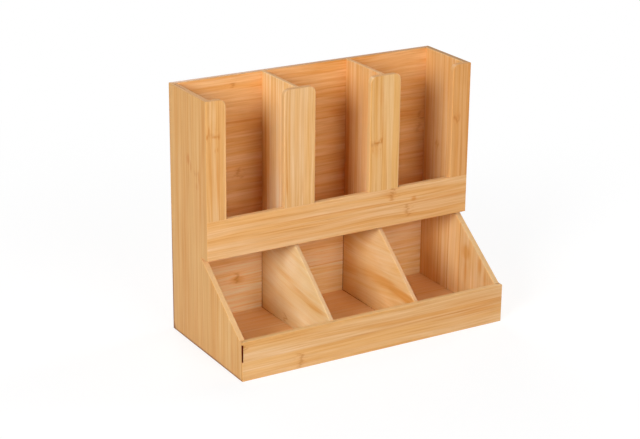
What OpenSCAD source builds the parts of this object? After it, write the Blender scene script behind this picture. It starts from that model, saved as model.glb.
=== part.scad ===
// Bamboo organizer for coffee capsules: three tall compartments above three sloping bins.
// Millimetres, Z up. The origin is the middle of the footprint, on the surface it stands on.
// X runs along the width and the front looks towards -Y.

/* [Overall size] */
// Width over both sides
overall_w = 345; // [240:1:480]
// Depth at the base
overall_d = 170; // [140:1:240]
// Height of the back and the sides
overall_h = 295; // [220:1:420]
// Outside depth of the upper compartments
upper_d = 90; // [60:1:120]

/* [Boards] */
// Thickness of the sides, the back, the rails and the posts
case_t = 7; // [5:0.5:12]
// Thickness of the bottom and the middle shelf
floor_t = 5; // [4:0.5:9]
// Thickness of the dividers
divider_t = 5; // [3:0.5:9]
// Radius of the eased edges
edge_round = 1; // [0.5:0.25:1.25]

/* [Levels] */
// Height of the rail in front of the bins
lower_rail_h = 46; // [20:1:80]
// Height of the middle shelf's underside above the ground
shelf_z = 112; // [90:1:150]
// Height of the rail in front of the upper compartments
upper_rail_h = 46; // [25:1:80]

/* [Sloping fronts] */
// Flat step in the sides, under the upper front
side_step = 17; // [8:1:30]
// How far the lower dividers start behind the upper front
divider_step = 9; // [8:1:30]

/* [Posts] */
// How far a post reaches into the front of a compartment
post_reach = 17.5; // [10:0.5:30]
// Radius of a post's free top corners
post_round = 8; // [2:0.5:12]

/* [Joinery] */
// Depth of the grooves and rabbets that hold the inner boards
groove_depth = 2; // [1:0.25:3]
// Glue line between two boards
glue_gap = 0.1; // [0.05:0.05:0.3]

/* [Hidden] */
$fn = 64;
// How far a cut runs past the faces that it opens
overrun = 2;
// Outer faces, seen from above
side_x = -overall_w / 2;
front_y = -overall_d / 2;
back_y = overall_d / 2;
upper_y = back_y - upper_d;
// Inner faces of the outer boards
wall_x = overall_w / 2 - case_t;
back_wall_y = back_y - case_t;
lower_wall_y = front_y + case_t;
upper_wall_y = upper_y + case_t;
// Levels
shelf_top = shelf_z + floor_t;
rail_top = shelf_z + upper_rail_h;
// Three equal columns with two dividers between them
columns = 3;
column_w = (2 * wall_x - (columns - 1) * divider_t) / columns;
column_pitch = column_w + divider_t;
divider_x = column_pitch / 2;
slot_w = column_w - 2 * post_reach;
// How far an inner board enters its groove
tongue = groove_depth - glue_gap;
// One glue line all round, added to a board to make room for it
all_round = [glue_gap, glue_gap, glue_gap];
// Opposite corners of the two floor boards
bottom_low = [-wall_x - tongue, lower_wall_y - tongue, 0];
bottom_high = [wall_x + tongue, back_wall_y + tongue, floor_t];
shelf_low = [-wall_x - tongue, upper_wall_y - tongue, shelf_z];
shelf_high = [wall_x + tongue, back_wall_y + tongue, shelf_top];
// Turning points of a side, in Y and Z
side_top_rear = [back_y, overall_h];
side_top_front = [upper_y, overall_h];
side_under_front = [upper_y, shelf_z];
slope_top = [upper_y + side_step, shelf_z];
slope_foot = [lower_wall_y, lower_rail_h];
side_lip = [front_y, lower_rail_h];
// A round is this much larger than its inset, so it meets the faces in a faint crease
crease_share = 1.01;
// Bamboo, from the palest board to the warmest
pale_bamboo = "#E6BC84";
honey_bamboo = "#DDAA6B";
warm_bamboo = "#D39B5A";
deep_bamboo = "#C78B4C";

// Box between two opposite corners
module block(low, high) {
    translate(low)
        cube(high - low);
}

// Stands a plate up along the depth: drawn in Y and Z, it grows from x towards +X
module stand_along(x) {
    translate([x, 0, 0])
        rotate([90, 0, 90])
            children();
}

// Stands a plate up across the width: drawn in X and Z, it grows from y towards the front
module stand_across(y) {
    translate([0, y, 0])
        rotate([90, 0, 0])
            children();
}

// What a rounded edge loses, seen along it: the board fills the quarter +X +Y
module edge_profile() {
    difference() {
        translate([-overrun, -overrun])
            square(edge_round + overrun);
        translate([edge_round, edge_round])
            circle(edge_round * crease_share);
    }
}

// Waste of a rounded edge that runs up from the origin
module edge_waste(length, start_run = overrun, end_run = overrun) {
    translate([0, 0, -start_run])
        linear_extrude(start_run + length + end_run)
            edge_profile();
}

// Waste along a straight stretch of a plate's outline, on the face at z = 0.
// The plate lies to the left of the way from start to end.
module face_edge_waste(start, end, start_run, end_run) {
    way = end - start;
    translate([start.x, start.y, 0])
        rotate([0, 0, atan2(way.y, way.x)])
            rotate([90, 0, 90])
                edge_waste(norm(way), start_run, end_run);
}

// The same on the face at z = thickness
module far_edge_waste(start, end, thickness, start_run = overrun, end_run = overrun) {
    translate([0, 0, thickness])
        mirror([0, 0, 1])
            face_edge_waste(start, end, start_run, end_run);
}

// The same on both faces
module edges_waste(start, end, thickness, start_run = overrun, end_run = overrun) {
    face_edge_waste(start, end, start_run, end_run);
    far_edge_waste(start, end, thickness, start_run, end_run);
}

// Waste round the corner of a plate, on the face at z = 0; the corner's arc has its centre at the origin
module face_corner_waste() {
    rotate_extrude(angle = 90)
        translate([post_round, 0])
            mirror([1, 0])
                edge_profile();
}

// Plan of a board across the full width, mitred behind its outer face at y = 0
module mitred_plan() {
    outer = (overall_w - glue_gap) / 2;
    polygon([[-outer, 0], [outer, 0], [outer - case_t, case_t], [-outer + case_t, case_t]]);
}

// Waste of the mitre along the front edge of the left side, with the outer corner at the origin
module mitre_waste(height) {
    start = glue_gap / 2 - overrun;
    end = case_t + overrun;
    linear_extrude(height)
        polygon([[-overrun, -overrun], [end, -overrun], [end, end + glue_gap / 2], [-overrun, start]]);
}

// Rounds the outer edge of a front corner on the left and on the right, from z upwards
module front_corners_waste(y, z, height) {
    for (turn = [0, 1])
        mirror([turn, 0, 0])
            translate([side_x, y, z])
                edge_waste(height);
}

// The same for the two rear corners
module rear_corners_waste() {
    mirror([0, 1, 0])
        front_corners_waste(-back_y, 0, overall_h);
}

// Room for the bottom board, open downwards
module bottom_rabbet() {
    block(bottom_low - all_round - [0, 0, overrun], bottom_high + all_round);
}

// Room for the middle shelf
module shelf_groove() {
    block(shelf_low - all_round, shelf_high + all_round);
}

// Saw groove up the whole back, for the two dividers that stand over each other at x
module divider_groove(x) {
    half = divider_t / 2 + glue_gap;
    block(
        [x - half, back_wall_y - overrun, -overrun],
        [x + half, back_wall_y + groove_depth, overall_h + overrun]
    );
}

// Outline of a side: full height behind, a step under the upper front, then the slope to the rail
module side_outline() {
    polygon([
        [front_y, 0], [back_y, 0], side_top_rear, side_top_front,
        side_under_front, slope_top, slope_foot, side_lip
    ]);
}

// What lies over the height of the step in a side, or under it
module step_zone(above) {
    translate([side_x - overrun, front_y - overrun, above ? shelf_z : shelf_z - overall_h])
        cube([overall_w + 2 * overrun, overall_d + 2 * overrun, overall_h]);
}

// The edges of a side that a hand can touch. The step and the slope meet in a narrow inside corner,
// so neither runs past it and each is cut on its own side of the step's height only.
module side_edges_waste() {
    stand_along(side_x) {
        edges_waste(side_top_rear, side_top_front, case_t);
        face_edge_waste(slope_foot, side_lip, 0, overrun);
    }
    intersection() {
        stand_along(side_x)
            face_edge_waste(side_under_front, slope_top, overrun, 0);
        step_zone(true);
    }
    intersection() {
        stand_along(side_x)
            edges_waste(slope_top, slope_foot, case_t, 0, 0);
        step_zone(false);
    }
}

// The left side with its three mitres and its grooves
module side_board() {
    difference() {
        stand_along(side_x)
            linear_extrude(case_t)
                side_outline();
        translate([side_x, front_y, -overrun])
            mitre_waste(lower_rail_h + 2 * overrun);
        translate([side_x, upper_y, shelf_z])
            mitre_waste(overall_h - shelf_z + overrun);
        translate([side_x, back_y, -overrun])
            mirror([0, 1, 0])
                mitre_waste(overall_h + 2 * overrun);
        bottom_rabbet();
        shelf_groove();
        side_edges_waste();
        front_corners_waste(front_y, 0, lower_rail_h);
        front_corners_waste(upper_y, shelf_z, overall_h - shelf_z);
        rear_corners_waste();
    }
}

module left_side() {
    color(honey_bamboo)
        side_board();
}

module right_side() {
    color(warm_bamboo)
        mirror([1, 0, 0])
            side_board();
}

// Back, mitred to both sides, with the grooves for every board that meets it
module back_panel() {
    color(deep_bamboo)
        difference() {
            translate([0, back_y, 0])
                mirror([0, 1, 0])
                    linear_extrude(overall_h)
                        mitred_plan();
            bottom_rabbet();
            shelf_groove();
            for (x = [-divider_x, divider_x])
                divider_groove(x);
            stand_across(back_y)
                edges_waste([-side_x, overall_h], [side_x, overall_h], case_t);
            rear_corners_waste();
        }
}

module bottom_board() {
    color(deep_bamboo)
        block(bottom_low, bottom_high);
}

module middle_shelf() {
    color(warm_bamboo)
        block(shelf_low, shelf_high);
}

// Upright board between two upper compartments
module upper_divider(x) {
    front = upper_wall_y + glue_gap;
    rear = back_wall_y + tongue;
    difference() {
        block(
            [x - divider_t / 2, front, shelf_top + glue_gap],
            [x + divider_t / 2, rear, overall_h]
        );
        stand_along(x - divider_t / 2)
            edges_waste([rear, overall_h], [front, overall_h], divider_t);
    }
}

module upper_divider_left() {
    color(honey_bamboo)
        upper_divider(-divider_x);
}

module upper_divider_right() {
    color(honey_bamboo)
        upper_divider(divider_x);
}

// Board between two bins, sloping down to the top of the lower rail
module lower_divider(x) {
    seat = floor_t + glue_gap;
    front = lower_wall_y + glue_gap;
    rear = back_wall_y + tongue;
    high = [upper_y + divider_step, shelf_z - glue_gap];
    low = [front, lower_rail_h];
    stand_along(x - divider_t / 2)
        difference() {
            linear_extrude(divider_t)
                polygon([[front, seat], [rear, seat], [rear, high.y], high, low]);
            edges_waste(high, low, divider_t);
        }
}

module lower_divider_left() {
    color(pale_bamboo)
        lower_divider(-divider_x);
}

module lower_divider_right() {
    color(pale_bamboo)
        lower_divider(divider_x);
}

// Rail in front of the bins
module lower_front_rail() {
    color(honey_bamboo)
        difference() {
            translate([0, front_y, 0])
                linear_extrude(lower_rail_h)
                    mitred_plan();
            bottom_rabbet();
            stand_across(lower_wall_y)
                edges_waste([-side_x, lower_rail_h], [side_x, lower_rail_h], case_t);
            front_corners_waste(front_y, 0, lower_rail_h);
        }
}

// Cuts a piece of the upper front, drawn in X and Z, out of one mitred board
module upper_front_piece() {
    difference() {
        intersection() {
            translate([0, upper_y, 0])
                linear_extrude(overall_h)
                    mitred_plan();
            stand_across(upper_wall_y + overrun)
                linear_extrude(case_t + 2 * overrun)
                    children();
        }
        front_corners_waste(upper_y, shelf_z, overall_h - shelf_z);
    }
}

// Rail in front of the upper compartments, on which the posts stand.
// Its top edges are eased between the posts, and its lower edge in front.
module upper_front_rail() {
    color(honey_bamboo)
        difference() {
            upper_front_piece()
                translate([side_x, shelf_z])
                    square([overall_w, upper_rail_h]);
            shelf_groove();
            stand_across(upper_wall_y) {
                far_edge_waste([side_x, shelf_z], [-side_x, shelf_z], case_t);
                for (x = [-column_pitch, 0, column_pitch])
                    edges_waste([x + slot_w / 2, rail_top], [x - slot_w / 2, rail_top], case_t, 0, 0);
            }
        }
}

// Corner of a post's outline that the round takes off; the round's centre is at the origin
module corner_waste() {
    difference() {
        square(post_round + overrun);
        circle(post_round);
    }
}

// Rounds the free edge at x, on the right of a post, and the free top corner above it
module free_edge_waste(x) {
    shoulder = overall_h - post_round;
    edges_waste([x, rail_top], [x, shoulder], case_t, overrun, 0);
    translate([x - post_round, shoulder, 0]) {
        face_corner_waste();
        translate([0, 0, case_t])
            mirror([0, 0, 1])
                face_corner_waste();
    }
}

// Post in the corner of an outer compartment, mitred to the side
module edge_post() {
    right = post_reach - wall_x;
    foot = rail_top + glue_gap;
    top_end = right - post_round;
    difference() {
        upper_front_piece()
            difference() {
                translate([side_x, foot])
                    square([right - side_x, overall_h - foot]);
                translate([top_end, overall_h - post_round])
                    corner_waste();
            }
        stand_across(upper_wall_y) {
            free_edge_waste(right);
            edges_waste([top_end, overall_h], [side_x, overall_h], case_t, 0, overrun);
        }
    }
}

// Post in front of the upper divider at x, forming a T with it
module centre_post(x) {
    half = divider_t / 2 + post_reach;
    foot = rail_top + glue_gap;
    top_half = half - post_round;
    translate([x, 0, 0])
        difference() {
            stand_across(upper_wall_y)
                linear_extrude(case_t)
                    difference() {
                        translate([-half, foot])
                            square([2 * half, overall_h - foot]);
                        for (turn = [0, 1])
                            mirror([turn, 0])
                                translate([top_half, overall_h - post_round])
                                    corner_waste();
                    }
            stand_across(upper_wall_y) {
                for (turn = [0, 1])
                    mirror([turn, 0, 0])
                        free_edge_waste(half);
                edges_waste([top_half, overall_h], [-top_half, overall_h], case_t, 0, 0);
            }
        }
}

module left_edge_post() {
    color(honey_bamboo)
        edge_post();
}

module left_centre_post() {
    color(pale_bamboo)
        centre_post(-divider_x);
}

module right_centre_post() {
    color(pale_bamboo)
        centre_post(divider_x);
}

module right_edge_post() {
    color(warm_bamboo)
        mirror([1, 0, 0])
            edge_post();
}

left_side();
right_side();
back_panel();
bottom_board();
middle_shelf();
upper_divider_left();
upper_divider_right();
lower_divider_left();
lower_divider_right();
upper_front_rail();
lower_front_rail();
left_edge_post();
left_centre_post();
right_centre_post();
right_edge_post();
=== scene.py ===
import random
from math import radians
import bmesh
import bpy
from mathutils import Euler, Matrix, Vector


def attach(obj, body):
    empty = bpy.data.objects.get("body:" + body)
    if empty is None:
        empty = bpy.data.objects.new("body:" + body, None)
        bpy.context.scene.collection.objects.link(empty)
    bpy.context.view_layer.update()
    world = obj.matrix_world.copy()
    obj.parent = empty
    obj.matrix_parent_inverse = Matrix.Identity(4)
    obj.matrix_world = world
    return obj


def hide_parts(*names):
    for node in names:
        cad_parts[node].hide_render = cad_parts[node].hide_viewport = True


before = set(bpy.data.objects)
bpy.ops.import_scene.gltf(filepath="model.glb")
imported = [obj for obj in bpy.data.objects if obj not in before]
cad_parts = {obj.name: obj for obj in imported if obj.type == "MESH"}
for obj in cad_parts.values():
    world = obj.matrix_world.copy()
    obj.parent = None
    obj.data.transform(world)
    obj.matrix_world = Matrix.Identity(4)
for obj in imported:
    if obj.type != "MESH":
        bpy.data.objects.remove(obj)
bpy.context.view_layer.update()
mm = 0.001
scene = bpy.context.scene


# Camera, set so that the organizer's corners fall close to where the photograph has them
cameraSet = {
    "turn": radians(-30.67),
    "height": radians(20.0),
    "roll": radians(0.583),
    "distance": 2.0173,
    "aimHeight": 0.1475,
    "aimRight": -0.02269,  # how far the aim is moved in the picture plane
    "aimUp": -0.01624,
    "focalPixels": 1766.1,
    "imageWidth": 640,
    "sensor": 36.0,
}


def placeCamera(look):
    turned = Euler((radians(90) - look["height"], 0, look["turn"])).to_matrix()
    turned = turned @ Euler((0, 0, look["roll"])).to_matrix()
    right, up, back = turned.col[0], turned.col[1], turned.col[2]
    aim = Vector((0, 0, look["aimHeight"])) + right * look["aimRight"] + up * look["aimUp"]
    camera = bpy.data.cameras.new("photoCamera")
    camera.sensor_width = look["sensor"]
    camera.lens = look["focalPixels"] / look["imageWidth"] * look["sensor"]
    camera.clip_end = 50
    holder = bpy.data.objects.new("photoCamera", camera)
    holder.matrix_world = turned.to_4x4()
    holder.location = aim + back * look["distance"]
    scene.collection.objects.link(holder)
    scene.camera = holder


placeCamera(cameraSet)
print("camera placed")


# Small helpers for materials


class Nodes:  # one material's node tree, a node per call
    def __init__(self, tree):
        self.tree = tree

    def add(self, kind, **settings):
        node = self.tree.nodes.new(kind)
        for name, value in settings.items():
            setattr(node, name, value)
        return node

    def feed(self, socket, value):
        if isinstance(value, bpy.types.NodeSocket):
            self.tree.links.new(value, socket)
        else:
            socket.default_value = value

    def math(self, operation, *values, clamp=False):
        node = self.add("ShaderNodeMath", operation=operation, use_clamp=clamp)
        for socket, value in zip(node.inputs, values):
            self.feed(socket, value)
        return node.outputs[0]

    def vector(self, x, y, z):
        node = self.add("ShaderNodeCombineXYZ")
        for socket, value in zip(node.inputs, (x, y, z)):
            self.feed(socket, value)
        return node.outputs[0]

    def split(self, vector):
        node = self.add("ShaderNodeSeparateXYZ")
        self.feed(node.inputs[0], vector)
        return node.outputs

    def noise(self, where, detail=2.0, rough=0.5):
        node = self.add("ShaderNodeTexNoise", noise_dimensions="3D")
        self.feed(node.inputs["Vector"], where)
        node.inputs["Scale"].default_value = 1.0
        node.inputs["Detail"].default_value = detail
        node.inputs["Roughness"].default_value = rough
        return node.outputs["Fac"]

    def step(self, value, low, high, out=(0.0, 1.0)):
        node = self.add("ShaderNodeMapRange", interpolation_type="SMOOTHSTEP")
        for socket, item in zip(node.inputs, (value, low, high, out[0], out[1])):
            self.feed(socket, item)
        return node.outputs[0]

    def mix(self, share, first, second, blend="MIX"):
        # The colour sockets of this node come after those for numbers and vectors
        node = self.add("ShaderNodeMix", data_type="RGBA", blend_type=blend)
        self.feed(node.inputs[0], share)
        self.feed(node.inputs[6], first)
        self.feed(node.inputs[7], second)
        return node.outputs[2]


def linear(color):  # a colour as a screen shows it, 0 to 255, in the renderer's own numbers
    parts = [c / 255 for c in color]
    return tuple(p / 12.92 if p <= 0.04045 else ((p + 0.055) / 1.055) ** 2.4 for p in parts)


# Bamboo. Each board is glued up from strips. The shifts are factors on the board's own colour.
bambooSet = {
    "stripWidth": 23.0,
    "plainStrips": 8,  # a board without strips of its own gets these, from plainStart on
    "plainStart": -90.0,
    "plainLight": (0.97, 1.03),
    "plainWarm": (-0.3, 0.3),
    "warmth": (0.0, 0.05, 0.13),  # what a warm strip loses in red, green and blue
    "rampMargin": 2.0,
    "broadShifts": ((1.02, 1.06, 1.16), (0.97, 0.88, 0.69)),  # paler and darker
    "streakShifts": ((1.03, 1.06, 1.13), (0.96, 0.90, 0.79)),
    "paleShift": (1.035, 1.085, 1.22),
    "lineShift": (0.92, 0.84, 0.71),
    "fineShift": (0.86, 0.82, 0.77),
    "fibreShift": (0.86, 0.72, 0.54),
    "knotShift": (0.77, 0.61, 0.40),
    "knotHalo": (0.97, 0.88, 0.74),
    # The soft marks' factors: darker for real marks and painted shade, paler for real marks and painted
    # light
    "darkMarkAndShade": (0.90, 0.71, 0.45),
    "paleMarkAndLight": (1.06, 1.13, 1.30),
    "seamShift": (0.90, 0.79, 0.64),
    "seamHalf": 0.45,
    "seamShare": 0.6,
    # Painted shade, nearly black, and painted highlights
    "paintedShadeShift": (0.42, 0.27, 0.18),
    "paintedHighlightShift": (1.20, 1.30, 1.50),
    # The narrow faces: a little paler, as sanded, and partly painted light
    "narrowToneAndLightShift": (1.02, 1.06, 1.12),
    "endColor": (228, 172, 112),
    "endDots": (208, 149, 92),
    "roughness": 0.42,
    "endRoughness": 0.35,  # how much rougher the sawn ends are
    "glossVaries": 0.25,
    "specular": 0.3,
    "bumpStrength": 0.2,
    "bumpDepth": 0.0002,
    "fineBump": -1.0,
    "vesselBump": -0.6,
    "narrowShare": 0.7,  # how much of the narrow faces' and ends' own colour shows
    "endShare": 0.85,
    "narrowBelow": (0.35, 0.9),  # by the part of the normal that points through the board
    "endAbove": (0.80, 0.95),  # by the part of the normal that points along the grain
}

# Noise of the grain: width across and reach along the fibres in mm, detail, roughness and offset
grainSet = {
    "broad": (7.0, 260.0, 1.0, 0.5, 1.7),
    "streak": (2.4, 150.0, 2.0, 0.55, 5.3),
    "thread": (1.5, 75.0, 1.0, 0.5, 7.7),
    "fine": (0.5, 30.0, 2.0, 0.6, 9.1),
    "vessel": (0.4, 9.0, 1.0, 0.5, 12.9),
}

# How that noise becomes marks. Lines and dashes give where in the noise they begin, where they are
# full, and a share. The bright lines lie below that: full under the first number, gone at the second.
fibreSet = {
    "wanderWidth": 40.0,
    "wanderReach": 150.0,
    "wanderBy": 6.0,
    "flameBy": 50.0,
    "stripJump": 331.0,
    "spread": 0.13,
    "lines": (0.53, 0.70, 0.75),
    "brightLines": (0.34, 0.47, 0.45),
    "fineLines": (0.5, 0.75, 0.5),
    "dashes": (0.64, 0.76, 0.3),
    "cloudWidth": 22.0,
    "cloudReach": 45.0,
    "cloudOffset": 21.0,
    "clouds": (0.35, 0.65),
    "cloudShare": 0.3,
    "flameClouds": 0.5,
    "ragged": 1.5,
    "patchFade": (0.1, 1.5),  # from full to nothing, as shares of a patch's half sizes
    "patchFibres": (0.35, 0.65, (0.65, 1.15)),  # these two break marks up along the fibres
    "paintedLightFibres": (0.30, 0.50, (0.75, 1.0)),
    "dotSize": 0.6,
    "dots": (0.45, 0.65),
}

# Knots: sizes and sways in mm, the two spreads in square mm, limits of the noise, and shares
knotSet = {
    "sides": (0.75, 1.15),  # where a knot ends sideways, as shares of its half width
    "curlWidth": 4.2,
    "curlReach": 60.0,
    "curlBy": 20.0,
    "nearSpread": 60.0,
    "ridgeSpread": 7.0,
    "fleckWidth": 1.8,
    "fleckReach": 5.0,
    "fleckOffset": 3.0,
    "flecks": (0.54, 0.66),
    "fleckShare": 0.6,
    "ridgeGaps": (0.25, 0.50),
    "swayBy": 9.0,
    "haloShare": 0.35,
}
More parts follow.
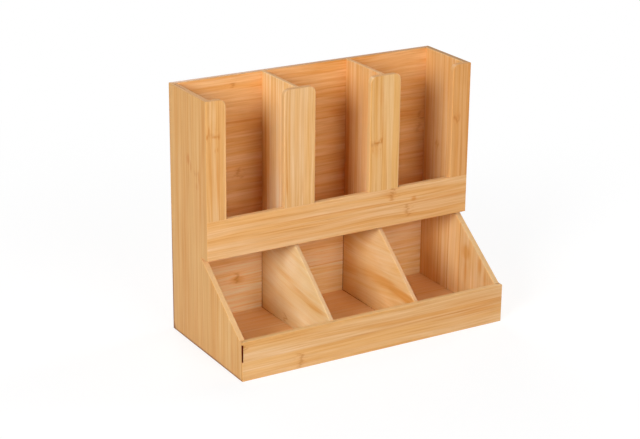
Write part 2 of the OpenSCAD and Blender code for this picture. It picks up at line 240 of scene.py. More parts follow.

# tone is a board's own colour, contrast the strength of its grain, and seed picks its noise.
# axes: across the strips, along the grain, through the board.
# edge and end: factors for its narrow faces and its sawn ends; the narrow-face factors also paint light and
# shade, much paler where a slope or top catches light. seam: how dark its glue lines are.
# length and flame: how long the marks of its grain are, and how far they wander.
# outer: from where through the board, in mm, its outer face has the outerStrips.
# strips: where each begins, in mm across, how light it is, and how warm.
# knots: across, along, half of the width that the mark covers, and its strength.
# marksAndPaintedLight: across, along, half width and half length of a soft mark, darker where above 0, else
# paler. Some are real marks in the bamboo, and many are painted light and painted shade on the walls and
# floors inside.
# paintedShade and paintedHighlights: the same, for painted shade that is nearly black and for painted
# highlights.
boards = {
    # Painted light: its narrow faces, the slope and the top most of all, are made much paler
    "left_side": {
        "tone": (211, 159, 90), "axes": "YZX", "seed": 3, "contrast": 0.65, "edge": (1.24, 1.48, 2.5),
        "strips": ((-85, 1.0, 0.2), (-60, 1.01, -0.3), (-37, 1.0, 0.1), (-14, 1.0, -0.2),
                   (8.5, 1.01, 0.0), (31, 0.99, 0.3), (55, 1.0, 0.1), (78, 1.0, 0.0)),
        "knots": ((20.0, 208.0, 6, 0.35),),
        # Painted shade: a dark line down the rear edge, darkest low, a darker rear bottom corner, and a
        # line along the bottom edge where the floor shades it
        "paintedShade": ((87.0, 55.0, 4.6, 90, 2.0), (87.0, 20.0, 4.8, 40, 1.0), (87.0, 220.0, 3.4, 160, 0.8),
                   (84.0, 0.0, 6.0, 8, 1.2), (0.0, 0.0, 150, 2.2, 1.2)),
        "marksAndPaintedLight": ((38.0, 219.0, 3.4, 6, 1.3), (32.0, 212.0, 1.5, 7, 1.4), (13.0, 204.0, 1.7, 8, 1.5),
                    (18.0, 193.0, 5, 4, 0.5), (2.0, 262.0, 3.5, 34, 0.5), (5.0, 230.0, 2.5, 20, 0.4),
                    (60.0, 150.0, 9, 90, -0.25), (-38.0, 30.0, 3.0, 50, -0.5), (-24.0, 40.0, 2.0, 55, 0.4),
                    (-62.0, 20.0, 2.5, 30, 0.5), (24.0, 40.0, 3.0, 60, 0.35), (-45.0, 42.0, 34, 45, -0.7),
                    (4.0, 175.0, 20, 55, 0.35)),
    },
    # Painted light: its inner face is paler and cooler than its outer face, which has the outerStrips.
    # Painted shade: the patches at its top and in the third bin.
    "right_side": {
        "tone": (244, 200, 140), "axes": "YZX", "seed": 8, "contrast": 0.55, "seam": 1.4,
        "edge": (0.80, 0.80, 0.86), "end": 0.65,
        "strips": ((-85, 0.91, -0.5), (-6.0, 1.02, -1.0), (18.2, 0.97, -0.1), (39.0, 0.95, 0.1),
                   (58, 0.96, -0.1), (78, 1.0, 0.0)),
        "outer": 169.0,
        "outerStrips": ((-85, 0.84, 2.3), (-62, 0.83, 2.6), (-39, 0.85, 2.2), (-16, 0.83, 2.5),
                        (7, 0.84, 2.4), (30, 0.82, 2.7), (53, 0.84, 2.2), (76, 0.83, 2.5)),
        "knots": ((49.0, 183.0, 5, 0.6),),
        "marksAndPaintedLight": ((-19.0, 66.0, 9, 9, 1.4), (-20.0, 42.0, 3, 22, 1.0), (-31.0, 34.0, 2.5, 16, -0.9),
                    (-49.0, 58.0, 4, 12, 1.0), (-60.0, 46.0, 2.5, 10, 0.7), (-38.0, 40.0, 1.5, 20, -0.7),
                    (-12.0, 30.0, 2, 20, -0.5), (39.0, 60.0, 1.1, 110, 1.2), (18.2, 60.0, 1.0, 110, 1.0),
                    (-6.0, 60.0, 0.9, 90, 0.8), (55.0, 60.0, 1.2, 80, 0.5), (30.0, 285.0, 60, 36, 0.5),
                    (62.0, 45.0, 26, 66, 0.6)),
    },
    # Painted light: its strips inside the bins, below 112 mm, are paler and cooler than the rest. Several
    # patches also paint light into the first two bins and the first compartment, and paint shade along the
    # top and just under the middle shelf.
    "back_panel": {
        "tone": (235, 175, 110), "axes": "ZXY", "seed": 21, "contrast": 0.75, "length": 0.5,
        "edge": (0.55, 0.50, 0.45),
        "strips": ((0, 1.20, -7.6), (20, 1.20, -7.6), (43, 1.19, -5.8), (66, 1.17, -4.0), (89, 1.16, -3.4),
                   (112, 0.99, 0.0), (135, 0.98, -0.2), (158, 0.97, 0.2), (181, 1.0, -0.1),
                   (204, 0.97, 0.2), (227, 0.98, 0.3), (240, 1.02, -0.2), (262, 1.02, -1.0)),
        "outer": 81.5,
        "outerStrips": ((0, 1.0, -0.4), (23, 0.98, 0.1), (46, 1.01, -0.3), (69, 1.0, 0.2), (92, 0.98, 0.0),
                        (115, 1.01, -0.4), (138, 0.99, 0.2), (161, 1.0, 0.0), (184, 0.98, 0.3),
                        (207, 1.01, -0.2), (230, 1.0, 0.1), (253, 1.02, -0.4), (276, 1.0, 0.0)),
        "knots": ((177.8, -88.7, 7, 0.7), (48.9, -93.5, 7, 0.7), (211.7, 159.0, 6, 0.6),
                  (197.0, 156.0, 6, 0.6), (283.0, -98.0, 3, 0.8)),
        "marksAndPaintedLight": ((232.0, 43.0, 4, 13, 0.9), (223.0, 46.0, 5, 9, 0.9), (239.5, -82.0, 1.6, 60, 0.8),
                    (225.0, -78.0, 2.5, 40, 0.5), (216.0, 140.0, 5, 22, 0.5), (46.0, -92.0, 6, 9, 0.7),
                    (50.0, -88.0, 60, 45, -0.7), (50.0, 25.0, 60, 45, -0.35),
                    (180.0, -115.0, 70, 60, -0.55), (290.0, 40.0, 30, 160, 0.5),
                    (106.0, 20.0, 16, 220, 0.6)),
    },
    # Both patches are painted: light on the first bin's floor, shade on the third bin's
    "bottom_board": {
        "tone": (252, 203, 145), "axes": "YXZ", "seed": 34, "contrast": 0.3,
        "strips": (), "knots": (), "marksAndPaintedLight": ((45.0, -100.0, 60, 60, -0.7), (45.0, 120.0, 60, 60, 0.4)),
    },
    "middle_shelf": {
        "tone": (238, 183, 121), "axes": "YXZ", "seed": 35, "contrast": 0.3, "strips": (), "knots": (),
    },
    # Painted light: its pale tone and the pale patch low at the front. Painted shade: the dark patch at the
    # rear.
    "upper_divider_left": {
        "tone": (252, 217, 163), "axes": "YZX", "seed": 41, "contrast": 0.65,
        "strips": ((0, 1.02, 0.0), (22, 1.0, 0.0), (45, 0.98, 0.3), (68, 0.95, 0.6)), "knots": (),
        "marksAndPaintedLight": ((78.0, 190.0, 18, 90, 1.4), (25.0, 130.0, 60, 50, -1.4), (30.0, 290.0, 60, 34, 0.5)),
    },
    # Painted light: its pale tone and the pale patch low at the front. Painted shade: the dark patch at the
    # rear.
    "upper_divider_right": {
        "tone": (239, 191, 131), "axes": "YZX", "seed": 44, "contrast": 0.75,
        "strips": ((0, 0.99, 0.2), (18, 1.02, -0.2), (41, 1.0, 0.1), (64, 0.98, 0.3)), "knots": (),
        "marksAndPaintedLight": ((10.0, 250.0, 2.0, 45, 0.6), (22.0, 255.0, 3.0, 30, 0.5), (78.0, 190.0, 14, 90, 1.0),
                    (20.0, 135.0, 30, 30, -0.5)),
    },
    # The bins' dividers are one wide slice each: tilt is the slope of the grain in it. Their pale tones are
    # painted light on these shaded walls.
    "lower_divider_left": {
        "tone": (245, 216, 163), "axes": "ZYX", "seed": 52, "contrast": 0.25, "flame": 0.45, "length": 0.7,
        "edge": (0.67, 0.52, 0.51), "tilt": -0.07,
        "strips": ((5, 1.0, 0.0), (24, 1.0, 0.0), (44, 1.0, 0.2), (64, 1.0, 0.2), (80, 1.0, 0.0)),
        "knots": ((10.0, 24.0, 5, 0.8),),
        "marksAndPaintedLight": ((64.0, 26.0, 3.5, 22, 0.6), (57.0, -10.0, 5, 22, 1.0), (53.5, -45.0, 5.5, 24, 1.3),
                    (50.0, 55.0, 50, 22, -0.6), (80.0, 10.0, 12, 16, -1.1), (74.0, -20.0, 8, 16, -0.8),
                    (28.0, -20.0, 9, 24, -0.8), (40.0, 20.0, 6, 20, -0.2)),
    },
    "lower_divider_right": {
        "tone": (240, 199, 139), "axes": "ZYX", "seed": 57, "contrast": 0.32, "flame": 0.4, "length": 0.7,
        "edge": (0.77, 0.66, 0.76), "tilt": 0.084,
        "strips": ((5, 1.01, -0.2), (24, 1.0, 0.0), (36, 1.0, 0.2), (60, 1.0, -0.2), (90, 1.0, -0.2)),
        "knots": (),
        "marksAndPaintedLight": ((48.0, 62.0, 10, 20, 1.1), (50.0, 20.0, 8, 28, 1.1), (45.0, -15.0, 7, 24, 1.5),
                    (39.5, -47.0, 7, 22, 1.7), (35.0, -66.0, 7, 14, 1.3), (72.0, 66.0, 10, 12, 0.6),
                    (84.0, 10.0, 14, 24, -0.9), (74.0, -15.0, 10, 18, -0.8), (19.0, 22.0, 8, 22, -0.6),
                    (24.0, -15.0, 6, 16, -0.6)),
    },
    # Painted light: its narrow faces, the top most of all, are made paler
    "upper_front_rail": {
        "tone": (225, 174, 115), "axes": "ZXY", "seed": 63, "contrast": 1.0, "edge": (1.28, 1.45, 1.65),
        "strips": ((112, 1.0, 0.1), (135, 1.01, -0.1)),
        "knots": ((152.0, 68.7, 8, 0.8), (128.0, 91.0, 8, 0.7)),
        "marksAndPaintedLight": ((141.5, 98.0, 3.0, 3.5, 1.2), (144.0, 67.0, 1.6, 4, 0.9), (158.0, 73.0, 1.0, 10, 0.8),
                    (153.0, 62.0, 6, 10, 0.3), (136.0, 130.0, 1.2, 45, 0.7), (128.0, 110.0, 5, 30, 0.2),
                    (141.0, -20.0, 1.4, 70, 0.6), (130.0, 30.0, 1.2, 60, 0.5), (122.0, -60.0, 1.2, 60, 0.5),
                    (135.0, -150.0, 20, 50, -0.5), (135.0, 150.0, 20, 45, 0.3)),
    },
    # Painted light: its narrow faces, the top most of all, are made paler
    "lower_front_rail": {
        "tone": (221, 173, 115), "axes": "ZXY", "seed": 66, "contrast": 1.0, "edge": (1.22, 1.38, 1.55),
        "strips": ((0, 1.02, -0.3), (23, 0.99, 0.3)),
        "knots": ((10.0, -100.0, 9, 0.7), (39.4, -170.3, 3, 0.8)),
        "marksAndPaintedLight": ((28.0, 125.0, 14, 60, 0.5), (20.0, -130.0, 18, 50, -0.8), (31.0, 30.0, 7, 60, 0.3),
                    (24.0, 60.0, 1.0, 90, 0.7), (14.0, -94.0, 5, 8, -0.3), (38.0, -60.0, 1.2, 50, 0.6),
                    (18.0, 20.0, 4, 40, -0.4), (23.0, -155.0, 20, 40, -0.5), (23.0, 150.0, 20, 40, 0.3)),
    },
    # Painted light: its narrow faces, the end faces and the top, are made paler
    "left_edge_post": {
        "tone": (219, 168, 107), "axes": "XZY", "seed": 71, "contrast": 1.0, "edge": (1.2, 1.22, 1.25),
        "strips": ((-173, 1.0, -0.2), (-157, 0.99, 0.4)), "knots": ((-163.0, 256.5, 9, 0.35),),
        "marksAndPaintedLight": ((-168.6, 262.0, 1.0, 5, 1.1), (-170.6, 255.5, 1.2, 3, 1.1),
                    (-161.0, 254.5, 3.6, 1.5, 1.1), (-155.8, 253.5, 1.4, 3, 0.7),
                    (-160.5, 239.0, 0.8, 3, 0.7), (-157.5, 239.5, 0.8, 3, 0.7),
                    (-158.0, 200.0, 1.3, 34, 1.0), (-163.0, 280.0, 5, 10, -0.5),
                    (-166.0, 235.0, 3, 16, -0.3)),
        # Painted highlight: a bright line down the post's right edge
        "paintedHighlights": ((-148.7, 225.0, 1.5, 160, 1.6),),
    },
    "left_centre_post": {
        "tone": (222, 175, 118), "axes": "XZY", "seed": 76, "contrast": 0.9, "edge": (1.05, 1.05, 1.05),
        "strips": ((-74, 0.99, 0.4), (-68, 1.0, 0.0), (-51, 1.03, -0.5)), "knots": (),
        "marksAndPaintedLight": ((-71.6, 235.0, 1.8, 60, 0.9), (-72.3, 183.0, 1.1, 12, 1.0),
                    (-52.5, 260.0, 1.5, 40, 0.4), (-52.0, 180.0, 1.2, 14, 0.9),
                    (-60.0, 230.0, 2.0, 60, 0.2), (-46.0, 215.0, 6, 60, -0.2)),
    },
    # Painted light: its narrow faces, the end faces and the top, are made paler
    "right_centre_post": {
        "tone": (221, 172, 109), "axes": "XZY", "seed": 79, "contrast": 0.9, "edge": (1.15, 1.32, 1.65),
        "strips": ((38, 1.0, 0.2), (52.8, 1.02, -0.3)), "knots": ((45.0, 215.4, 8, 0.7),),
        "marksAndPaintedLight": ((45.5, 216.5, 6, 1.2, 1.0), (50.5, 219.5, 1.2, 3, 1.0), (39.5, 209.0, 1.2, 5, 1.0),
                    (45.0, 206.0, 6, 8, 0.3), (52.2, 232.0, 1.2, 26, 0.9), (52.0, 270.0, 2.5, 14, 0.5),
                    (40.0, 190.0, 1.2, 24, 0.4), (64.0, 220.0, 6, 60, -0.15)),
    },
    # Painted light: its narrow faces, the end faces and the top, are made paler
    "right_edge_post": {
        "tone": (214, 153, 86), "axes": "XZY", "seed": 83, "contrast": 0.9, "edge": (1.2, 1.45, 2.0),
        "strips": ((150, 1.0, 0.1), (162, 0.99, 0.2)), "knots": ((155.0, 230.5, 5, 0.55),),
        "marksAndPaintedLight": ((155.5, 228.0, 0.9, 5, 1.0), (152.0, 231.0, 2.0, 3, 0.6), (158.5, 233.0, 1.5, 3, 0.6),
                    (163.0, 200.0, 1.0, 40, 0.5)),
    },
}


def stripRamp(n, across, board, look):
    # One flat colour factor per strip, with a thin darker glue line where the next one begins.
    # A board with a tilt has no glue lines: its strips blend into each other.
    strips = list(board["strips"])
    dice = random.Random(board["seed"])
    if not strips:
        strips = [(look["plainStart"] + i * look["stripWidth"],
                   dice.uniform(*look["plainLight"]), dice.uniform(*look["plainWarm"]))
                  for i in range(look["plainStrips"])]
    low = strips[0][0] - look["rampMargin"]
    high = strips[-1][0] + look["stripWidth"] + look["rampMargin"]
    seam = board.get("seam", look["seamShare"])
    node = n.add("ShaderNodeValToRGB")
    ramp = node.color_ramp
    ramp.interpolation = "EASE" if "tilt" in board else "CONSTANT"
    stops = []
    for start, light, warm in strips:
        shade = [light * (1 - loss * warm) for loss in look["warmth"]]
        sign = dice.uniform(0.1, 1.0)
        line = [s * (1 + seam * (f - 1)) for s, f in zip(shade, look["seamShift"])]
        if "tilt" in board:
            stops.append((start, (*shade, 0.5)))
        elif stops:
            stops.append((start - look["seamHalf"], (*line, sign)))
            stops.append((start + look["seamHalf"], (*shade, sign)))
        else:
            stops.append((low, (*shade, sign)))
    for i, (place, color) in enumerate(stops):
        spot = (place - low) / (high - low)
        point = ramp.elements[i] if i < 2 else ramp.elements.new(spot)
        point.position = spot
        point.color = color
    while len(ramp.elements) > len(stops):
        ramp.elements.remove(ramp.elements[-1])
    spread = n.math("DIVIDE", n.math("SUBTRACT", across, low), high - low)
    n.feed(node.inputs[0], spread)
    return node.outputs["Color"], node.outputs["Alpha"]


def patchSums(n, where, marksAndPaintedLight):
    # Soft marks, the darker and the paler ones added up
    sums = {"dark": 0.0, "pale": 0.0}
    for across, along, halfAcross, halfAlong, strength in marksAndPaintedLight:
        away = n.add("ShaderNodeVectorMath", operation="SUBTRACT")
        n.feed(away.inputs[0], where)
        away.inputs[1].default_value = (across, along, 0)
        scaled = n.add("ShaderNodeVectorMath", operation="MULTIPLY")
        n.feed(scaled.inputs[0], away.outputs[0])
        scaled.inputs[1].default_value = (1 / halfAcross, 1 / halfAlong, 0)
        far = n.add("ShaderNodeVectorMath", operation="LENGTH")
        n.feed(far.inputs[0], scaled.outputs[0])
        kind = "dark" if strength > 0 else "pale"
        mark = n.step(far.outputs["Value"], *fibreSet["patchFade"], (abs(strength), 0.0))
        sums[kind] = n.math("ADD", sums[kind], mark)
    return sums["dark"], sums["pale"]


def knotMarks(n, board, across, along, bent, look):
    # A wavy darker ridge across the strip with flecks round it, and the fibres swing aside
    seed = float(board["seed"])
    halo = 0.0
    knot = 0.0
    for knotAcross, knotAlong, half, strength in board["knots"]:
        away = n.math("SUBTRACT", along, knotAlong)
        beside = n.math("DIVIDE", n.math("SUBTRACT", across, knotAcross), float(half))
        window = n.step(n.math("ABSOLUTE", beside), *look["sides"], (strength, 0.0))
        curlAcross = n.math("DIVIDE", across, look["curlWidth"])
        curlAlong = n.math("DIVIDE", along, look["curlReach"])
        curl = n.noise(n.vector(curlAcross, curlAlong, seed + knotAlong), 1.0)
        swing = n.math("SUBTRACT", curl, 0.5)
        wavy = n.math("ADD", away, n.math("MULTIPLY", swing, look["curlBy"]))
        near = n.math("MULTIPLY", n.math("MULTIPLY", away, away), -1 / look["nearSpread"])
        near = n.math("EXPONENT", near)
        ridge = n.math("MULTIPLY", n.math("MULTIPLY", wavy, wavy), -1 / look["ridgeSpread"])
        ridge = n.math("EXPONENT", ridge)
        fleckAcross = n.math("DIVIDE", across, look["fleckWidth"])
        fleckAlong = n.math("DIVIDE", along, look["fleckReach"])
        fleck = n.noise(n.vector(fleckAcross, fleckAlong, seed + look["fleckOffset"]), 1.0)
        flecks = n.math("MULTIPLY", n.step(fleck, *look["flecks"]), near)
        flecks = n.math("MULTIPLY", flecks, look["fleckShare"])
        broken = n.math("MULTIPLY", ridge, n.step(fleck, *look["ridgeGaps"]))
        mark = n.math("MAXIMUM", broken, flecks)
        knot = n.math("MAXIMUM", knot, n.math("MULTIPLY", mark, window))
        halo = n.math("MAXIMUM", halo, n.math("MULTIPLY", near, window))
        sway = n.math("MULTIPLY", n.math("MULTIPLY", swing, near), look["swayBy"])
        bent = n.math("ADD", bent, n.math("MULTIPLY", sway, window))
    return halo, knot, bent


def grainNoise(n, bent, along, through, shift, board):
    # All the kinds of grain, drawn out along the fibres and different in each strip
    found = {}
    for kind, (width, reach, detail, rough, offset) in grainSet.items():
        depth = n.math("DIVIDE", through, width * 2)
        jump = n.math("ADD", shift, float(board["seed"]) + offset)
        where = n.vector(n.math("DIVIDE", bent, width),
                         n.math("DIVIDE", along, reach * board.get("length", 1.0)),
                         n.math("ADD", depth, jump))
        found[kind] = n.noise(where, detail, rough)
    return found


def grainColor(n, color, grain, board, look):
    # Streaks: pale and dark factors on the strip's colour, with darker and brighter lines
    contrast = board["contrast"]
    spread = fibreSet["spread"] / contrast
    for kind in ("broad", "streak"):
        share = n.step(grain[kind], 0.5 - spread, 0.5 + spread)
        paler, darker = look[kind + "Shifts"]
        color = n.mix(1.0, color, n.mix(share, (*paler, 1), (*darker, 1)), "MULTIPLY")
    begin, full, most = fibreSet["lines"]
    lines = n.math("MULTIPLY", n.step(grain["thread"], begin, full), most * contrast, clamp=True)
    color = n.mix(lines, color, (*look["lineShift"], 1), "MULTIPLY")
    full, gone, most = fibreSet["brightLines"]
    lines = n.step(grain["thread"], full, gone, (1.0, 0.0))
    lines = n.math("MULTIPLY", lines, most * contrast, clamp=True)
    color = n.mix(lines, color, (*look["paleShift"], 1), "MULTIPLY")
    for kind, name, shift in (("fine", "fineLines", "fineShift"), ("vessel", "dashes", "fibreShift")):
        begin, full, most = fibreSet[name]
        lines = n.math("MULTIPLY", n.step(grain[kind], begin, full), most)
        color = n.mix(lines, color, (*look[shift], 1), "MULTIPLY")
    return color


def cloudColor(n, color, across, along, board, look):
    # Pale clouds, stronger where a wide slice shows flames
    cloudAcross = n.math("DIVIDE", across, fibreSet["cloudWidth"])
    cloudAlong = n.math("DIVIDE", along, fibreSet["cloudReach"])
    where = n.vector(cloudAcross, cloudAlong, float(board["seed"]) + fibreSet["cloudOffset"])
    cloud = n.noise(where, 1.0)
    most = fibreSet["cloudShare"] + fibreSet["flameClouds"] * board.get("flame", 0.0)
    clouds = n.step(cloud, *fibreSet["clouds"], (0.0, most))
    return n.mix(clouds, color, (*look["paleShift"], 1), "MULTIPLY")


def marksAndLightColor(n, color, along, bent, grain, board, look):
    # The soft marks, ragged at their sides: real marks, painted light and painted shade
    ragged = n.math("MULTIPLY", n.math("SUBTRACT", grain["fine"], 0.5), fibreSet["ragged"])
    where = n.vector(n.math("ADD", bent, ragged), along, 0.0)
    dark, pale = patchSums(n, where, board["marksAndPaintedLight"])
    fibrous = n.step(grain["streak"], *fibreSet["patchFibres"])
    dark = n.math("MULTIPLY", dark, fibrous, clamp=True)
    color = n.mix(dark, color, (*look["darkMarkAndShade"], 1), "MULTIPLY")
    pale = n.math("MULTIPLY", pale, 1.0, clamp=True)
    return n.mix(pale, color, (*look["paleMarkAndLight"], 1), "MULTIPLY")


def faceColor(n, color, facing, across, through, board, look):
    # The narrow faces are smoother and have their own colour, which also paints light and shade on them,
    # and the sawn ends of the fibres have dots
    narrow = n.step(facing[board["axes"][2]], *look["narrowBelow"], (look["narrowShare"], 0.0))
    narrowToneAndLightShift = board.get("edge", look["narrowToneAndLightShift"])
    plain = [min(t * e, 1.0) for t, e in zip(linear(board["tone"]), narrowToneAndLightShift)]
    color = n.mix(narrow, color, (*plain, 1))
    endOn = n.step(facing[board["axes"][1]], *look["endAbove"])
    dotAcross = n.math("DIVIDE", across, fibreSet["dotSize"])
    dotThrough = n.math("DIVIDE", through, fibreSet["dotSize"])
    dots = n.noise(n.vector(dotAcross, dotThrough, float(board["seed"])), 1.0)
    darker = board.get("end", 1.0)
    ends = [[part * darker for part in linear(look[key])] for key in ("endColor", "endDots")]
    endColor = n.mix(n.step(dots, *fibreSet["dots"]), (*ends[0], 1), (*ends[1], 1))
    return n.mix(n.math("MULTIPLY", endOn, look["endShare"]), color, endColor), endOn


def bambooShader(n, color, grain, endOn, look):
    # Satin, a little uneven along the fibres, and rougher on the sawn ends
    shader = n.add("ShaderNodeBsdfPrincipled")
    n.feed(shader.inputs["Base Color"], color)
    gloss = n.math("MULTIPLY", n.math("SUBTRACT", grain["streak"], 0.5), look["glossVaries"])
    rougher = n.math("MULTIPLY", endOn, look["endRoughness"])
    rough = n.math("ADD", n.math("ADD", gloss, look["roughness"]), rougher)
    n.feed(shader.inputs["Roughness"], rough)
    shader.inputs["Specular IOR Level"].default_value = look["specular"]
    bump = n.add("ShaderNodeBump")
    bump.inputs["Strength"].default_value = look["bumpStrength"]
    bump.inputs["Distance"].default_value = look["bumpDepth"]
    fine = n.math("MULTIPLY", grain["fine"], look["fineBump"])
    height = n.math("ADD", fine, n.math("MULTIPLY", grain["vessel"], look["vesselBump"]))
    n.feed(bump.inputs["Height"], height)
    n.feed(shader.inputs["Normal"], bump.outputs[0])
    return shader.outputs[0]


def bambooMaterial(name, board, look):
    material = bpy.data.materials.new(name)
    material.use_nodes = True
    tree = material.node_tree
    tree.nodes.clear()
    n = Nodes(tree)
    place = n.add("ShaderNodeTexCoord")
    spots = n.split(place.outputs["Object"])
    across, along, through = (n.math("DIVIDE", spots["XYZ".index(a)], mm) for a in board["axes"])
    if "tilt" in board:
        across = n.math("ADD", across, n.math("MULTIPLY", along, board["tilt"]))
    flame = board.get("flame", 0.0)

    # The fibres wander a little, and a wide slice shows flames
    wanderAcross = n.math("DIVIDE", across, fibreSet["wanderWidth"])
    wanderAlong = n.math("DIVIDE", along, fibreSet["wanderReach"])
    wander = n.noise(n.vector(wanderAcross, wanderAlong, float(board["seed"])), 1.0)
    by = fibreSet["wanderBy"] + fibreSet["flameBy"] * flame
    adrift = n.math("MULTIPLY", n.math("SUBTRACT", wander, 0.5), by)
    stripPlace = n.math("ADD", across, adrift) if flame else across
    stripColor, stripSign = stripRamp(n, stripPlace, board, look)
    if "outer" in board:
        outerBoard = {**board, "strips": board["outerStrips"], "seam": look["seamShare"]}
        outerColor = stripRamp(n, across, outerBoard, look)[0]
        outside = n.step(through, board["outer"] - 1.0, board["outer"] + 1.0)
        stripColor = n.mix(outside, stripColor, outerColor)
    bent = n.math("ADD", across, adrift)
    halo, knot, bent = knotMarks(n, board, across, along, bent, knotSet)
    shift = n.math("MULTIPLY", stripSign, fibreSet["stripJump"])
    grain = grainNoise(n, bent, along, through, shift, board)

    # The colour, from the strips up to the marks on them
    color = n.mix(1.0, (*linear(board["tone"]), 1), stripColor, "MULTIPLY")
    color = grainColor(n, color, grain, board, look)
    color = cloudColor(n, color, across, along, board, look)
    if board["knots"]:
        around = n.math("MULTIPLY", halo, knotSet["haloShare"])
        color = n.mix(around, color, (*look["knotHalo"], 1), "MULTIPLY")
        color = n.mix(knot, color, (*look["knotShift"], 1), "MULTIPLY")
    if "marksAndPaintedLight" in board:
        color = marksAndLightColor(n, color, along, bent, grain, board, look)
    normal = n.split(place.outputs["Normal"])
    facing = {axis: n.math("ABSOLUTE", part) for axis, part in zip("XYZ", normal)}
    color, endOn = faceColor(n, color, facing, across, through, board, look)
    # Painted shade along edges that get little light, and painted highlights along edges that catch it
    for kind, tint in (("paintedShade", "paintedShadeShift"), ("paintedHighlights", "paintedHighlightShift")):
        if kind in board:
            marked = patchSums(n, n.vector(across, along, 0.0), board[kind])[0]
            fibrous = n.step(grain["streak"], *fibreSet["paintedLightFibres"])
            marked = n.math("MULTIPLY", marked, fibrous, clamp=True)
            color = n.mix(marked, color, (*look[tint], 1), "MULTIPLY")
    output = n.add("ShaderNodeOutputMaterial")
    n.feed(output.inputs["Surface"], bambooShader(n, color, grain, endOn, look))
    return material


# Painted shade: the colours inside the open joints and the mitre gap
jointShadeLook = {"colors": ((182, 84, 46), (152, 64, 32)), "gritScale": 4000.0}


def jointShadeMaterial(look):  # painted shade: dark reddish brown inside the open joints and the mitre gap
    material = bpy.data.materials.new("openJointShade")
    material.use_nodes = True
    material.node_tree.nodes.clear()
    n = Nodes(material.node_tree)
    place = n.add("ShaderNodeTexCoord")
    grit = n.add("ShaderNodeTexNoise", noise_dimensions="3D")
    n.feed(grit.inputs["Vector"], place.outputs["Object"])
    grit.inputs["Scale"].default_value = look["gritScale"]
    shader = n.add("ShaderNodeBsdfPrincipled")
    pale, deep = ((*linear(color), 1) for color in look["colors"])
    raw = n.mix(grit.outputs["Fac"], pale, deep)
    n.feed(shader.inputs["Base Color"], raw)
    shader.inputs["Roughness"].default_value = 1.0
    shader.inputs["Specular IOR Level"].default_value = 0.0
    output = n.add("ShaderNodeOutputMaterial")
    n.feed(output.inputs["Surface"], shader.outputs[0])
    return material


# Open joints: slits in the dressed boards, given by their lowest and highest corners in mm.
# thin is the end where a slit narrows, by the axis and the side of it, and share is its width there.
jointSet = {
    "back_panel": (
        {"low": (-59.2, 77, 5), "high": (-58.4, 78.25, 112), "thin": "z1", "share": 0.7},
        {"low": (52.6, 77, 5), "high": (53.6, 78.25, 112), "thin": "z1", "share": 0.7},
    ),
    "bottom_board": (
        {"low": (-59.2, 30, 4.75), "high": (-58.4, 78.1, 6), "thin": "y0", "share": 0.1},
        {"low": (52.5, 0, 4.75), "high": (53.6, 78.1, 6), "thin": "y0", "share": 0.1},
    ),
    "left_side": (
        {"low": (-170.1, 47, 294.5), "high": (-169.5, 76, 296), "thin": "y0", "share": 0.3},
    ),
}
mitreGap = {
    "boards": ("left_side", "lower_front_rail"),
    "corner": (-172.5, -85),
    "low": 22.5,
    "high": 43.0,
    "width": 2.2,
    "depth": 8.0,
    "lowShare": 0.75,  # its width at the bottom as a share of that at the top
}


def cutterObject(bm, material):
    bmesh.ops.recalc_face_normals(bm, faces=bm.faces)
    mesh = bpy.data.meshes.new("cutter")
    bm.to_mesh(mesh)
    bm.free()
    mesh.materials.append(material)
    cutter = bpy.data.objects.new("cutter", mesh)
    scene.collection.objects.link(cutter)
    return cutter


def slitCutter(slit, material):
    bm = bmesh.new()
    bmesh.ops.create_cube(bm, size=1.0)
    low, high = (Vector(slit[end]) * mm for end in ("low", "high"))
    for vert in bm.verts:
        share = vert.co + Vector((0.5, 0.5, 0.5))
        vert.co = Vector([low[i] + (high[i] - low[i]) * share[i] for i in range(3)])
        axis = "xyz".index(slit["thin"][0])
        if (share[axis] > 0.5) == (slit["thin"][1] == "1"):
            vert.co.x = high.x - (high.x - vert.co.x) * slit["share"]
    return cutterObject(bm, material)


def mitreCutter(gap, material):
    bm = bmesh.new()
    bmesh.ops.create_cube(bm, size=1.0)
    size = (gap["width"] * mm, 2 * gap["depth"] * mm, (gap["high"] - gap["low"]) * mm)
    bmesh.ops.scale(bm, verts=bm.verts, vec=size)
    for vert in bm.verts:
        if vert.co.z < 0:
            vert.co.x *= gap["lowShare"]
    bmesh.ops.rotate(bm, verts=bm.verts, matrix=Euler((0, 0, radians(-45))).to_matrix())
    middle = (gap["corner"][0] * mm, gap["corner"][1] * mm, (gap["high"] + gap["low"]) / 2 * mm)
    bmesh.ops.translate(bm, verts=bm.verts, vec=middle)
    return cutterObject(bm, material)


def cutOut(piece, cutter):
    cut = piece.modifiers.new("cut", "BOOLEAN")
    cut.operation = "DIFFERENCE"
    cut.solver = "EXACT"
    cut.material_mode = "TRANSFER"
    cut.object = cutter
    bpy.context.view_layer.update()
    cutMesh = bpy.data.meshes.new_from_object(piece.evaluated_get(bpy.context.evaluated_depsgraph_get()))
    piece.modifiers.remove(cut)
    oldMesh = piece.data
    piece.data = cutMesh
    bpy.data.meshes.remove(oldMesh)
    bpy.data.objects.remove(cutter)


# Boards. Each is the solid board's own mesh, merged, with its joints opened and its rounds smooth.
boardFinish = {"mergeWithin": 1e-6, "flatWithin": radians(0.5), "sharpAbove": radians(35)}
jointShade = jointShadeMaterial(jointShadeLook)


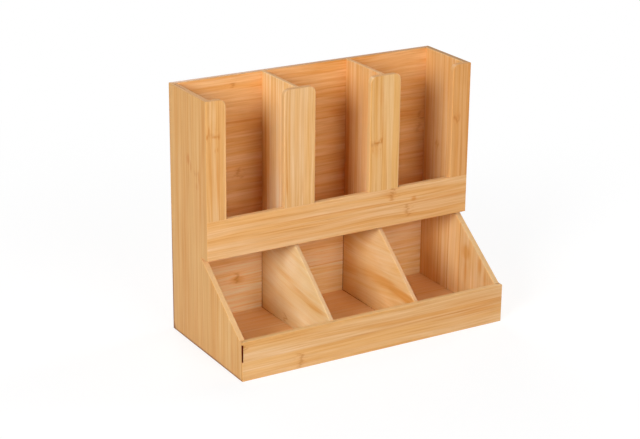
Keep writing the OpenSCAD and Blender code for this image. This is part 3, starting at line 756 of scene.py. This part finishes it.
def dressBoard(node, board, look):
    mesh = bpy.data.meshes.new(node + "_board")
    bm = bmesh.new()
    bm.from_mesh(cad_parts[node].data)
    bmesh.ops.remove_doubles(bm, verts=bm.verts, dist=look["mergeWithin"])
    bmesh.ops.dissolve_limit(bm, angle_limit=look["flatWithin"], verts=bm.verts, edges=bm.edges)
    bm.to_mesh(mesh)
    bm.free()
    mesh.materials.append(bambooMaterial(node + "_bamboo", board, bambooSet))
    piece = bpy.data.objects.new(node + "_board", mesh)
    scene.collection.objects.link(piece)
    for slit in jointSet.get(node, ()):
        cutOut(piece, slitCutter(slit, jointShade))
    if node in mitreGap["boards"]:
        cutOut(piece, mitreCutter(mitreGap, jointShade))
    bm = bmesh.new()
    bm.from_mesh(piece.data)
    for face in bm.faces:
        face.smooth = True
    for edge in bm.edges:
        edge.smooth = edge.calc_face_angle(0.0) < look["sharpAbove"]
    bm.to_mesh(piece.data)
    bm.free()
    shading = piece.modifiers.new("flatFaces", "WEIGHTED_NORMAL")
    shading.keep_sharp = True
    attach(piece, "root")
    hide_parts(node)


for node, board in boards.items():
    dressBoard(node, board, boardFinish)
print("boards dressed:", len(boards))


# Floor and background: white to the eye, and the floor keeps the shadow close to the organizer
stageSet = {
    "size": 12.0,
    "tone": 0.86,
    "shadowShare": 0.32,  # how much of the floor's own light the eye sees near the organizer
    "whiteShare": 0.78,   # the even white that is added to it there
    "nearRadius": 0.30,
    "farRadius": 0.95,
    "worldStrength": 0.07,
}


def whiteToTheEye(n):  # 1 where the camera, a reflection or a glass ray looks, else 0
    path = n.add("ShaderNodeLightPath")
    seen = n.math("MAXIMUM", path.outputs["Is Camera Ray"], path.outputs["Is Glossy Ray"])
    return n.math("MAXIMUM", seen, path.outputs["Is Transmission Ray"])


def makeFloor(look):
    mesh = bpy.data.meshes.new("floor")
    bm = bmesh.new()
    bmesh.ops.create_grid(bm, x_segments=1, y_segments=1, size=look["size"] / 2)
    bm.to_mesh(mesh)
    bm.free()
    floor = bpy.data.objects.new("floor", mesh)
    scene.collection.objects.link(floor)
    material = bpy.data.materials.new("paleFloor")
    material.use_nodes = True
    material.node_tree.nodes.clear()
    n = Nodes(material.node_tree)
    seen = whiteToTheEye(n)
    place = n.add("ShaderNodeTexCoord")
    reach = n.add("ShaderNodeVectorMath", operation="LENGTH")
    n.feed(reach.inputs[0], place.outputs["Object"])
    near = n.step(reach.outputs["Value"], look["nearRadius"], look["farRadius"], (1.0, 0.0))
    hidden = n.math("SUBTRACT", 1.0, n.math("MULTIPLY", near, look["shadowShare"]))
    toneHere = n.math("MULTIPLY", n.math("SUBTRACT", 1.0, n.math("MULTIPLY", seen, hidden)), look["tone"])
    matt = n.add("ShaderNodeBsdfDiffuse")
    n.feed(matt.inputs["Color"], n.vector(toneHere, toneHere, toneHere))
    white = n.add("ShaderNodeEmission")
    lift = n.math("SUBTRACT", 1.0, n.math("MULTIPLY", near, 1 - look["whiteShare"]))
    n.feed(white.inputs["Strength"], n.math("MULTIPLY", seen, lift))
    both = n.add("ShaderNodeAddShader")
    n.feed(both.inputs[0], matt.outputs[0])
    n.feed(both.inputs[1], white.outputs[0])
    output = n.add("ShaderNodeOutputMaterial")
    n.feed(output.inputs["Surface"], both.outputs[0])
    mesh.materials.append(material)


def makeWorld(look):
    world = bpy.data.worlds.new("studio")
    world.use_nodes = True
    world.node_tree.nodes.clear()
    n = Nodes(world.node_tree)
    light = n.add("ShaderNodeBackground")
    light.inputs["Color"].default_value = (1, 1, 1, 1)
    lift = 1 - look["worldStrength"]
    strength = n.math("ADD", n.math("MULTIPLY", whiteToTheEye(n), lift), look["worldStrength"])
    n.feed(light.inputs["Strength"], strength)
    output = n.add("ShaderNodeOutputWorld")
    n.feed(output.inputs["Surface"], light.outputs[0])
    scene.world = world


makeFloor(stageSet)
makeWorld(stageSet)


# Soft lamps round the organizer: turn is measured from the front, to the right
lampSet = {
    "keyLeft": {"turn": radians(-60), "height": radians(20), "distance": 2.4, "size": 0.95, "power": 42.0},
    "front": {"turn": radians(0), "height": radians(20), "distance": 2.4, "size": 1.2, "power": 18.5},
    "top": {"turn": radians(0), "height": radians(80), "distance": 2.4, "size": 1.2, "power": 5.0},
    "right": {"turn": radians(97), "height": radians(15), "distance": 2.4, "size": 1.0, "power": 28.0},
    "behind": {"turn": radians(170), "height": radians(30), "distance": 2.4, "size": 1.2, "power": 18.0},
}


def makeLamp(name, look):
    lamp = bpy.data.lights.new(name, "AREA")
    lamp.shape = "DISK"
    lamp.size = look["size"]
    lamp.energy = look["power"]
    turned = Euler((radians(90) - look["height"], 0, look["turn"])).to_matrix()
    holder = bpy.data.objects.new(name, lamp)
    holder.matrix_world = turned.to_4x4()
    holder.location = Vector((0, 0, cameraSet["aimHeight"])) + turned.col[2] * look["distance"]
    scene.collection.objects.link(holder)


for name, look in lampSet.items():
    makeLamp(name, look)
scene.view_settings.view_transform = "Standard"
print("stage and lamps made")
